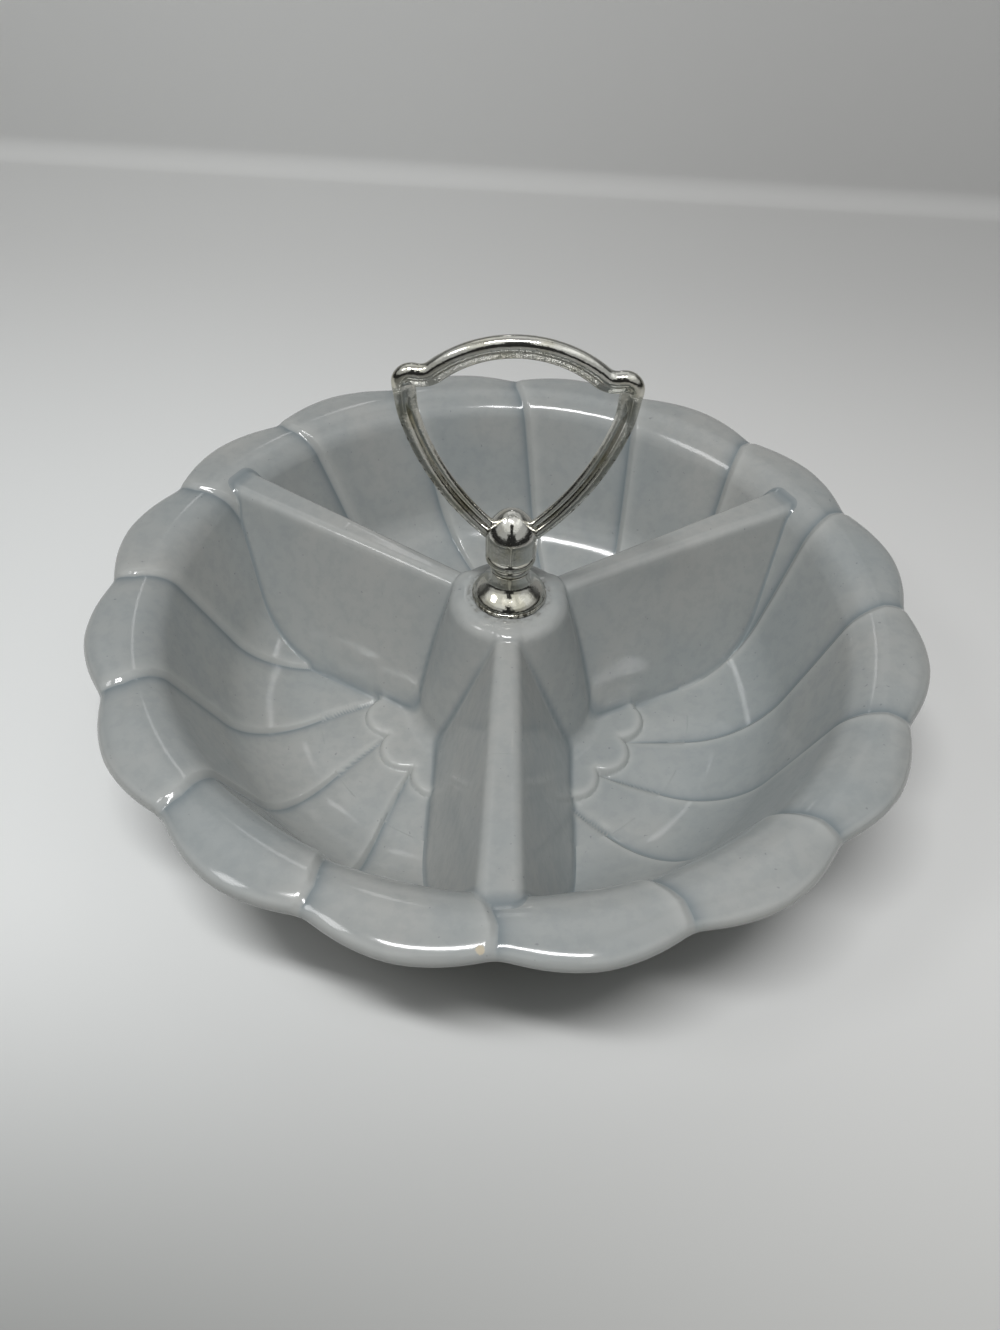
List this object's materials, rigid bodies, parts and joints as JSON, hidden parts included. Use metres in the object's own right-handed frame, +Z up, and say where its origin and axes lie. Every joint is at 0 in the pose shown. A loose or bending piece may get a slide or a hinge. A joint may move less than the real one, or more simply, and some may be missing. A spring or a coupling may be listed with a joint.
{
  "type": "divided serving dish",
  "caption": "Round petalled ceramic serving dish with dividers meeting in a centre post, and a cast metal carrying loop clamped to the post by a screw from below.",
  "frame": {"origin": "on the table under the middle of the centre post, which is also the dish's axis", "axes": "+Z up; +X to the right with the loop in the XZ plane; one divider runs to the front, along -Y"},
  "size_m": [0.2774, 0.2774, 0.1626],
  "materials": {
    "glaze": "gloss glaze, pale blue-grey, pooled darker in the grooves",
    "plated_cast": "old nickel-chrome plate on a casting, slightly yellowed and pitted",
    "fastener": "zinc plated, dull",
    "rubber": "matt",
    "fibre": "matt vulcanised fibre"
  },
  "bodies": {
    "root": {"dish": "glaze", "base_cushion": "rubber", "base_ferrule": "plated_cast", "collar": "plated_cast", "handle": "plated_cast", "fibre_washer": "fibre", "steel_washer": "fastener", "clamp_screw": "fastener"}
  },
  "joints": []
}
